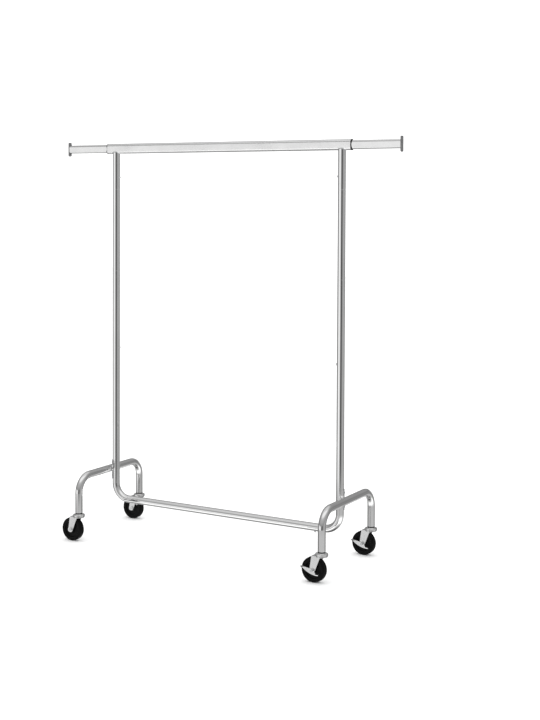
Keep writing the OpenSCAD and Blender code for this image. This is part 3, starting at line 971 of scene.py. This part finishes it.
@dataclass
class Legs:
    """The two bent legs with their saddle plates, welds and bolts."""

    radius: float = 14.0 * MM
    wall: float = 1.2 * MM
    lip: float = 0.4 * MM
    bend_radius: float = 62.0 * MM
    saddle_edge: float = 0.6 * MM
    saddle_outer: float = 16.8 * MM
    weld_radius: float = 2.0 * MM
    weld_offset: float = 6.2 * MM
    weld_half_angle: float = 34.0
    weld_ripples: int = 60
    weld_ripple: float = 0.06
    weld_tip: float = 0.02
    head_radius: float = 5.5 * MM
    head_height: float = 3.6 * MM
    shank_radius: float = 3.0 * MM
    shank_foot: float = 5.4 * MM
    socket_flats: float = 3.6 * MM
    socket_depth: float = 1.6 * MM

    def build(self) -> None:
        """Builds both legs and their fastenings."""
        for side in Side:
            self.leg(side)
            self.saddle(side)
        self.bolts()

    def leg(self, side: Side) -> None:
        """Builds one leg tube: up, over the bend, along the bar and down again."""
        node = f"leg_tube_{side.word}"
        low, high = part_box(node)
        x = (low.x + high.x) / 2
        y_front = low.y + self.radius
        y_back = high.y - self.radius
        bend_z = high.z - self.radius - self.bend_radius
        run = Run(self.radius, self.wall, sides=64)
        run.start(at(x, y_front, low.z))
        run.straight(Vector((0.0, 0.0, bend_z - low.z)))
        front = Vector((x, y_front + self.bend_radius, bend_z))
        back = Vector((x, y_back - self.bend_radius, bend_z))
        run.bend(front, Vector((-1.0, 0.0, 0.0)), QUARTER_TURN)
        run.straight(back - front)
        run.bend(back, Vector((-1.0, 0.0, 0.0)), QUARTER_TURN)
        run.straight(Vector((0.0, 0.0, low.z - bend_z)))
        run.close(self.lip).finish(node + "_bent", Finish.CHROME, "frame", [node])

    def saddle(self, side: Side) -> None:
        """Builds a saddle plate and the two weld beads that hold its bar."""
        node = f"saddle_plate_{side.word}"
        low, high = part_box(node)
        shape = Shape.of_node(node).soften(self.saddle_edge, angle=60.0)
        shape.finish(node + "_pressed", Finish.CHROME, "frame", [node])
        beads = Shape()
        reach = self.saddle_outer + 0.4 * self.weld_radius
        start = math.radians(self.weld_half_angle)
        for sign in (-1, 1):
            run = Run(self.weld_radius, 0.0, sides=16)
            run.start(Matrix.Rotation(-start, 4, "Z") @ at(reach, 0.0, 0.0) @ TO_Y)
            run.bend(Vector(), Vector((0.0, 0.0, 1.0)), 2 * start, steps=28)
            bead = self.ripple(run.shape, reach)
            beads.add(bead.move(at(0.0, 0.0, sign * self.weld_offset)))
        axis_x = abs(middle(f"upright_upper_{side.word}").x)
        beads.move(at(axis_x, 0.0, (low.z + high.z) / 2)).mirrored(side)
        beads.finish(f"saddle_weld_{side.word}", Finish.FASTENER, "frame", smooth_angle=60)

    def ripple(self, shape: Shape, reach: float) -> Shape:
        """Swells a bead in ripples, draws its ends to points and closes them."""
        for vert in shape.bm.verts:
            turn = math.atan2(vert.co.y, vert.co.x)
            share = abs(math.degrees(turn)) / self.weld_half_angle
            ripple = 1 + self.weld_ripple * math.cos(self.weld_ripples * turn)
            swell = math.sqrt(max(1.0 - share**4, 0.0)) * ripple
            core = Vector((math.cos(turn), math.sin(turn), 0.0)) * reach
            vert.co = core + (vert.co - core) * max(swell, self.weld_tip)
        bmesh.ops.holes_fill(shape.bm, edges=shape.bm.edges[:], sides=0)
        return shape.clean()

    def bolts(self) -> None:
        """Builds the four domed bolts with hexagon sockets."""
        shape = Shape()
        for side in Side:
            low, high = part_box(f"saddle_plate_{side.word}")
            _, bolt_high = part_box("leg_bolts")
            axis_x = abs(middle(f"upright_upper_{side.word}").x)
            pitch = bolt_high.z - self.head_radius - (low.z + high.z) / 2
            for sign in (-1, 1):
                bolt = self.bolt().move(TO_X)
                bolt.move(at(axis_x, 0.0, (low.z + high.z) / 2 + sign * pitch))
                shape.add(bolt.mirrored(side))
        shape.finish("leg_bolts_domed", Finish.FASTENER, "frame", ["leg_bolts"])

    def bolt(self) -> Shape:
        """One bolt along Z, measured from the upright's axis."""
        seat = self.saddle_outer
        crown = [
            (radius * self.head_radius, seat + height * self.head_height)
            for radius, height in ring((0.0, 0.0), 1.0, 12, 78, 8)
        ]
        top = seat + self.head_height
        outline = [
            (0.0, self.shank_foot), (self.shank_radius, self.shank_foot),
            (self.shank_radius, seat), (self.head_radius, seat), *crown, (0.0, top),
        ]
        shape = Shape().revolve(outline, steps=36)
        recess = hexagon(self.socket_flats, 2 * self.socket_depth, 0.0)
        return shape.cut(recess.move(at(0.0, 0.0, top - self.socket_depth)))


@dataclass
class Caster:
    """One swivel caster: sleeve, stem, fork, axle, wheel and, on the right, a brake."""

    side: Side
    end: End
    flange_radius: float = 13.6 * MM
    body_radius: float = 12.6 * MM
    sleeve_bore: float = 5.6 * MM
    stem_radius: float = 5.5 * MM
    rivet_radius: float = 8.5 * MM
    rivet_height: float = 3.0 * MM
    cover_radius: float = 23.0 * MM
    cover_wall: float = 2.2 * MM
    bend_edge: float = 2.1 * MM
    plate_edge: float = 0.45 * MM
    hub_half: float = 13.3 * MM
    bush_bore: float = 5.06 * MM
    rim_inner: float = 31.0 * MM
    rim_outer: float = 36.0 * MM
    rim_half: float = 11.3 * MM
    web_half: float = 5.5 * MM
    tyre_radius: float = 45.0 * MM
    tyre_half: float = 12.5 * MM
    axle_radius: float = 3.0 * MM
    flats: float = 10.0 * MM
    head_height: float = 4.0 * MM
    nut_height: float = 5.0 * MM
    tail: float = 2.0 * MM
    thread_pitch: float = 1.0 * MM
    pedal_edge: float = 0.5 * MM

    @property
    def place(self) -> str:
        """The words that name this caster."""
        return place_of(self.side, self.end)

    def build(self) -> None:
        """Builds the caster's pieces."""
        self.sleeve()
        self.stem()
        self.fork()
        self.axle()
        self.wheel_hub()
        self.tyre()
        if self.side is Side.RIGHT:
            self.pedal()

    def upright(self, node: str) -> Matrix:
        """A move from the origin to a node's vertical axis."""
        spot = middle(node)
        return at(spot.x, spot.y, 0.0)

    def across(self) -> Matrix:
        """A move that lays a shape's Z along the axle, with its front end at -Y."""
        spot = middle(f"tyre_{self.place}")
        return at(spot.x, spot.y, spot.z) @ TO_Y

    def sleeve(self) -> None:
        """Builds the black sleeve in the leg's end, with its flange."""
        node = f"caster_sleeve_{self.place}"
        low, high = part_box(node)
        leg_low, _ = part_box(f"leg_tube_{self.side.word}")
        outline = [
            (self.sleeve_bore, low.z), (self.flange_radius, low.z),
            (self.flange_radius, leg_low.z), (self.body_radius, leg_low.z),
            (self.body_radius, high.z), (self.sleeve_bore, high.z),
        ]
        shape = Shape().revolve(outline).soften(0.6 * MM, segments=3, angle=60.0)
        shape.move(self.upright(node))
        shape.finish(node + "_moulded", Finish.BLACK, "frame", [node])

    def stem(self) -> None:
        """Builds the stem with its dished cover and riveted end."""
        node = f"caster_stem_{self.place}"
        low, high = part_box(node)
        sleeve_low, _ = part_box(f"caster_sleeve_{self.place}")
        top = sleeve_low.z
        _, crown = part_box(f"caster_fork_{self.place}")
        inner = self.cover_radius - self.cover_wall
        rim = crown.z + 1.5 * MM
        outline = [
            (0.0, low.z), (self.rivet_radius - 1.0 * MM, low.z),
            (self.rivet_radius, low.z + 1.0 * MM),
            (self.rivet_radius, low.z + self.rivet_height),
            (self.stem_radius, low.z + self.rivet_height),
            (self.stem_radius, top - 5.5 * MM), (inner, top - 5.5 * MM),
            (inner, rim), (self.cover_radius, rim),
            *ring((self.cover_radius - 2.6 * MM, top - 4.4 * MM), 2.6 * MM, 8, 82, 8),
            (18.5 * MM, top - 2.2 * MM), (16.6 * MM, top - 2.55 * MM),
            (15.0 * MM, top - 2.6 * MM), (14.2 * MM, top - 1.6 * MM),
            (13.4 * MM, top), (self.stem_radius, top), (self.stem_radius, high.z),
            (0.0, high.z),
        ]
        shape = Shape().revolve(outline, steps=96).soften(0.5 * MM, segments=3, angle=50.0)
        shape.move(self.upright(f"caster_sleeve_{self.place}"))
        shape.finish(node + "_pressed", Finish.ZINC, "frame", [node], smooth_angle=40)

    def fork(self) -> None:
        """Builds the folded fork, with round folds, soft edges and a raised boss."""
        node = f"caster_fork_{self.place}"
        low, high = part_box(node)

        def is_fold(edge: bmesh.types.BMEdge) -> bool:
            """Whether an edge is one of the two outer folds beside the crown."""
            return all(
                high.z - vert.co.z < MERGE_GAP
                and min(vert.co.y - low.y, high.y - vert.co.y) < 5 * MM
                and abs(edge.verts[0].co.y - edge.verts[1].co.y) < MERGE_GAP
                for vert in edge.verts
            )

        shape = Shape.of_node(node)
        shape.soften(self.bend_edge, segments=5, angle=60.0, where=is_fold)
        shape.soften(self.plate_edge, segments=2, angle=60.0)
        body = f"fork_{self.place}"
        shape.finish(node + "_folded", Finish.ZINC, body, [node])
        self.boss(body)

    def boss(self, body: str) -> None:
        """Builds the pressed ring that stands round the axle on each fork plate."""
        low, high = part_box(f"caster_fork_{self.place}")
        axle_y = middle(f"tyre_{self.place}").y
        outline = [
            (6.0 * MM, 0.0), (8.6 * MM, 0.0), (8.2 * MM, 0.28 * MM),
            (7.5 * MM, 0.36 * MM), (6.8 * MM, 0.28 * MM),
        ]
        pair = Shape()
        for sign, face in ((-1, low.y), (1, high.y)):
            if self.side is Side.RIGHT and sign < 0:
                continue
            ring_shape = Shape().revolve(outline, steps=48)
            if sign < 0:
                ring_shape.move(Matrix.Rotation(math.pi, 4, "X"))
            pair.add(ring_shape.move(at(0.0, 0.0, face - axle_y)))
        pair.move(self.across())
        pair.finish(f"fork_boss_{self.place}", Finish.ZINC, body)

    def axle(self) -> None:
        """Builds the axle bolt: hexagon head, shank, threaded tail and nut."""
        node = f"axle_bolt_{self.place}"
        low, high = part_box(node)
        _, fork_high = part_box(f"caster_fork_{self.place}")
        axle_y = middle(f"tyre_{self.place}").y
        head = low.y - axle_y
        nut = fork_high.y - axle_y
        tip = high.y - axle_y
        thread = []
        turns = round((self.nut_height + self.tail) / self.thread_pitch)
        for turn in range(turns):
            start = tip - (turns - turn) * self.thread_pitch
            thread += [
                (self.axle_radius, start),
                (self.axle_radius - 0.3 * MM, start + 0.5 * self.thread_pitch),
            ]
        shank = [
            (0.0, head + 0.5 * self.head_height),
            (self.axle_radius, head + 0.5 * self.head_height),
            *thread, (self.axle_radius - 0.4 * MM, tip), (0.0, tip),
        ]
        shape = hexagon(self.flats, self.head_height, 0.45 * MM).move(at(0.0, 0.0, head))
        shape.add(Shape().revolve(shank, steps=32))
        shape.add(self.nut().move(at(0.0, 0.0, nut)))
        shape.move(self.across())
        shape.finish(node + "_turned", Finish.FASTENER, f"fork_{self.place}", [node])

    def nut(self) -> Shape:
        """A hexagonal nut that stands on the origin."""
        bore = Shape()
        bmesh.ops.create_cone(
            bore.bm, cap_ends=True, segments=32, radius1=self.axle_radius,
            radius2=self.axle_radius, depth=4 * self.nut_height,
        )
        return hexagon(self.flats, self.nut_height, 0.45 * MM).cut(bore)

    def wheel_hub(self) -> None:
        """Builds the moulded wheel body with its dished web and rounded rim."""
        node = f"wheel_hub_{self.place}"
        half = [
            (self.bush_bore, self.hub_half), (9.0 * MM, self.hub_half),
            (9.6 * MM, self.hub_half - 0.9 * MM), (10.6 * MM, self.hub_half - 0.9 * MM),
            (11.2 * MM, self.hub_half), (13.2 * MM, self.hub_half),
            (14.0 * MM, self.hub_half - 0.8 * MM), (14.4 * MM, self.web_half + 2.6 * MM),
            (15.6 * MM, self.web_half + 0.8 * MM), (18.0 * MM, self.web_half),
            (22.0 * MM, self.web_half), (22.6 * MM, self.web_half + 0.7 * MM),
            (24.2 * MM, self.web_half + 0.7 * MM), (24.8 * MM, self.web_half),
            (28.2 * MM, self.web_half), (30.2 * MM, self.web_half + 0.9 * MM),
            (30.8 * MM, self.web_half + 2.4 * MM),
            (self.rim_inner, self.rim_half - 0.7 * MM),
            (self.rim_inner + 0.7 * MM, self.rim_half),
            (self.rim_outer, self.rim_half),
        ]
        outline = half + [(radius, -width) for radius, width in reversed(half)]
        shape = Shape().revolve(outline, steps=96).move(self.across())
        shape.finish(node + "_moulded", Finish.HUB, f"wheel_{self.place}", [node], 50)

    def tyre(self) -> None:
        """Builds the tyre with its raised side ring, round shoulders and tread."""
        node = f"tyre_{self.place}"
        top = self.tyre_radius
        wide = self.tyre_half
        half = [
            (self.rim_outer, wide - 0.9 * MM), (36.5 * MM, wide - 0.4 * MM),
            (37.4 * MM, wide - 0.4 * MM), (37.9 * MM, wide), (39.3 * MM, wide),
            (39.8 * MM, wide - 0.5 * MM), (40.6 * MM, wide - 0.5 * MM),
            *ring((top - 3.4 * MM, wide - 3.6 * MM), 3.2 * MM, 78, 14, 7),
            (top - 0.05 * MM, wide - 5.2 * MM), (top, wide - 6.4 * MM),
            (top, 2.4 * MM), (top - 0.35 * MM, 2.0 * MM), (top - 0.35 * MM, 1.4 * MM),
            (top, 1.0 * MM),
        ]
        outline = half + [(radius, -width) for radius, width in reversed(half)]
        shape = Shape().revolve(outline, steps=128).move(self.across())
        shape.finish(node + "_moulded", Finish.TYRE, f"wheel_{self.place}", [node], 50)

    def pedal(self) -> None:
        """Builds the see-saw brake pedal, with soft edges on its plate and tabs."""
        node = f"brake_pedal_{self.place}"
        shape = Shape.of_node(node).soften(self.pedal_edge, segments=2, angle=50.0)
        body = f"pedal_{self.place}"
        shape.finish(node + "_pressed", Finish.ZINC, body, [node])


@dataclass(frozen=True)
class KeptNodes:
    """The small CAD pieces that keep their own shapes and get a finish."""

    finishes: tuple[tuple[str, Finish], ...] = (
        ("rail_glide", Finish.NYLON),
        ("leg_nuts", Finish.FASTENER),
        ("button_springs", Finish.SPRING),
        ("swivel_balls", Finish.SPRING),
        ("axle_bush", Finish.SPRING),
    )

    def dress(self) -> None:
        """Gives each kept node its material."""
        for start, finish in self.finishes:
            for name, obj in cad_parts.items():
                if not name.startswith(start):
                    continue
                for slot in obj.material_slots:
                    slot.material = finish.material()
                LOG.info("%s: kept from the frame, in %s", name, finish.slot)


# ------------------------------------------------------------------ studio


@dataclass(frozen=True)
class Sky:
    """The soft room that metal reflects: grey by bearing and by height.

    A bearing is measured in degrees from the side that the camera is on, and a
    height in degrees above level. The greys above and below level are scaled on
    the back side by back_above and back_below, and soft_side is how gradually one
    side passes into the other.
    """

    facing: float = -58.0
    level_ring: tuple[Point, ...] = (
        (-180.0, 0.06), (-170.0, 0.08), (-162.0, 0.7), (-152.0, 0.65), (-142.0, 0.26),
        (-118.0, 0.22), (-102.0, 0.22), (-84.0, 0.86), (-60.0, 0.96), (-38.0, 0.74),
        (-23.0, 0.40), (-13.0, 0.10), (-3.0, 0.03), (7.0, 0.07), (20.0, 0.24),
        (45.0, 0.36), (72.0, 0.44), (100.0, 0.28), (118.0, 0.24), (140.0, 0.28),
        (149.0, 0.75), (158.0, 0.65), (168.0, 0.1), (180.0, 0.06),
    )
    above: tuple[Point, ...] = (
        (4.0, 0.26), (14.0, 0.32), (24.0, 0.40), (34.0, 0.42), (42.0, 0.52),
        (54.0, 0.84), (72.0, 0.92), (90.0, 0.85),
    )
    below: tuple[Point, ...] = (
        (-90.0, 0.10), (-76.0, 0.14), (-64.0, 0.44), (-54.0, 0.62), (-47.0, 1.25),
        (-27.0, 1.15), (-21.0, 0.72), (-16.5, 0.56), (-12.0, 0.44),
    )
    blend_up: Point = (3.5, 9.0)
    blend_down: Point = (-14.0, -12.0)
    back_above: float = 0.7
    back_below: float = 0.4
    soft_side: float = 0.25
    ambient: float = 1.32

    def build(self, scene: bpy.types.Scene) -> None:
        """Makes the world: this room for reflections, and plain white for the rest.

        Args:
            scene: the scene that gets the world.
        """
        world = bpy.data.worlds.new("soft_room")
        world.use_nodes = True
        scene.world = world
        room = Graph.of_tree(world.node_tree)
        turn = room.add("ShaderNodeVectorRotate", Angle=-math.radians(self.facing))
        turn.rotation_type = "Z_AXIS"
        room.join(room.add("ShaderNodeTexCoord").outputs["Generated"], turn.inputs["Vector"])
        split = room.add("ShaderNodeSeparateXYZ")
        room.join(turn.outputs["Vector"], split.inputs[0])
        x, y, z = split.outputs
        bearing = room.degrees(room.calculate("ARCTAN2", y, x))
        height = room.degrees(room.calculate("ARCSINE", z))
        front = room.rise(x, -self.soft_side, self.soft_side)
        ring_value = room.profile(bearing, self.level_ring, 180.0)
        share_above = room.rise(front, 0.0, 1.0, self.back_above, 1.0)
        share_below = room.rise(front, 0.0, 1.0, self.back_below, 1.0)
        above = room.profile(height, self.above, 90.0)
        above = room.calculate("MULTIPLY", above, share_above)
        below = room.profile(height, self.below, 90.0)
        below = room.calculate("MULTIPLY", below, share_below)
        value = room.blend(room.rise(height, *self.blend_up), ring_value, above)
        value = room.blend(room.rise(height, *self.blend_down), below, value)
        glossy = room.add("ShaderNodeLightPath").outputs["Is Glossy Ray"]
        white = room.add("ShaderNodeValue")
        white.outputs[0].default_value = self.ambient
        value = room.blend(glossy, white.outputs[0], value)
        room.join(value, room.tree.nodes["Background"].inputs["Color"])


@dataclass(frozen=True)
class Studio:
    """The floor, the key light and the camera."""

    floor_size: float = 30.0
    floor_grey: float = 0.9
    key_place: Colour = (-0.5, 0.2, 4.2)
    key_aim: Colour = (0.0, 0.0, 0.3)
    key_size: float = 3.0
    key_power: float = 26.0
    eye: Colour = (2.557, -4.095, 1.341)
    heading: float = 29.88
    tilt: float = 1.76
    roll: float = 0.25
    lens: float = 63.85
    shift: float = -0.1734

    def build(self) -> None:
        """Sets up everything round the object."""
        scene = bpy.context.scene
        scene.view_settings.view_transform = "Standard"
        Sky().build(scene)
        self.floor()
        self.key()
        self.camera(scene)

    def floor(self) -> None:
        """Lays the plain pale floor, which reflections look through."""
        bm = bmesh.new()
        bmesh.ops.create_grid(bm, x_segments=2, y_segments=2, size=self.floor_size / 2)
        mesh = bpy.data.meshes.new("floor")
        bm.to_mesh(mesh)
        bm.free()
        graph = Graph("pale_floor")
        shader = graph.shader.inputs
        grain = graph.noise((3.0, 3.0, 3.0), 2.0)
        pale = (self.floor_grey,) * 3
        graph.join(graph.tint(grain, pale, pale), shader["Base Color"])
        shader["Roughness"].default_value = 1.0
        shader["Specular IOR Level"].default_value = 0.0
        clear = graph.add("ShaderNodeBsdfTransparent")
        either = graph.add("ShaderNodeMixShader")
        glossy = graph.add("ShaderNodeLightPath").outputs["Is Glossy Ray"]
        graph.join(glossy, either.inputs["Fac"])
        graph.join(graph.shader.outputs["BSDF"], either.inputs[1])
        graph.join(clear.outputs["BSDF"], either.inputs[2])
        out = graph.tree.nodes["Material Output"]
        graph.join(either.outputs["Shader"], out.inputs["Surface"])
        mesh.materials.append(graph.material)
        floor = bpy.data.objects.new("floor", mesh)
        bpy.context.scene.collection.objects.link(floor)

    def key(self) -> None:
        """Hangs the large soft light, high above the rack."""
        lamp = bpy.data.lights.new("key", "AREA")
        lamp.shape = "DISK"
        lamp.size = self.key_size
        lamp.energy = self.key_power
        light = bpy.data.objects.new("key", lamp)
        light.location = self.key_place
        aim = Vector(self.key_aim) - Vector(self.key_place)
        light.rotation_euler = aim.to_track_quat("-Z", "Y").to_euler()
        light.visible_glossy = False
        bpy.context.scene.collection.objects.link(light)

    def camera(self, scene: bpy.types.Scene) -> None:
        """Sets the camera at standing height, in front and to the right.

        Args:
            scene: the scene that it becomes the camera of.
        """
        lens = bpy.data.cameras.new("camera")
        lens.lens = self.lens
        lens.shift_y = self.shift
        camera = bpy.data.objects.new("camera", lens)
        heading = math.radians(self.heading)
        turn = Matrix.Rotation(heading, 4, "Z")
        pitch = Matrix.Rotation(QUARTER_TURN - math.radians(self.tilt), 4, "X")
        lean = Matrix.Rotation(math.radians(self.roll), 4, "Z")
        camera.matrix_world = at(*self.eye) @ turn @ pitch @ lean
        scene.collection.objects.link(camera)
        scene.camera = camera


def main() -> None:
    """Builds the whole scene."""
    logging.basicConfig(level=logging.INFO, format="%(message)s")
    HangingRail().build()
    UprightFrame().build()
    Legs().build()
    for side in Side:
        for end in End:
            Caster(side, end).build()
    KeptNodes().dress()
    Studio().build()
    LOG.info("all pieces are in place")


if __name__ == "__main__":
    main()
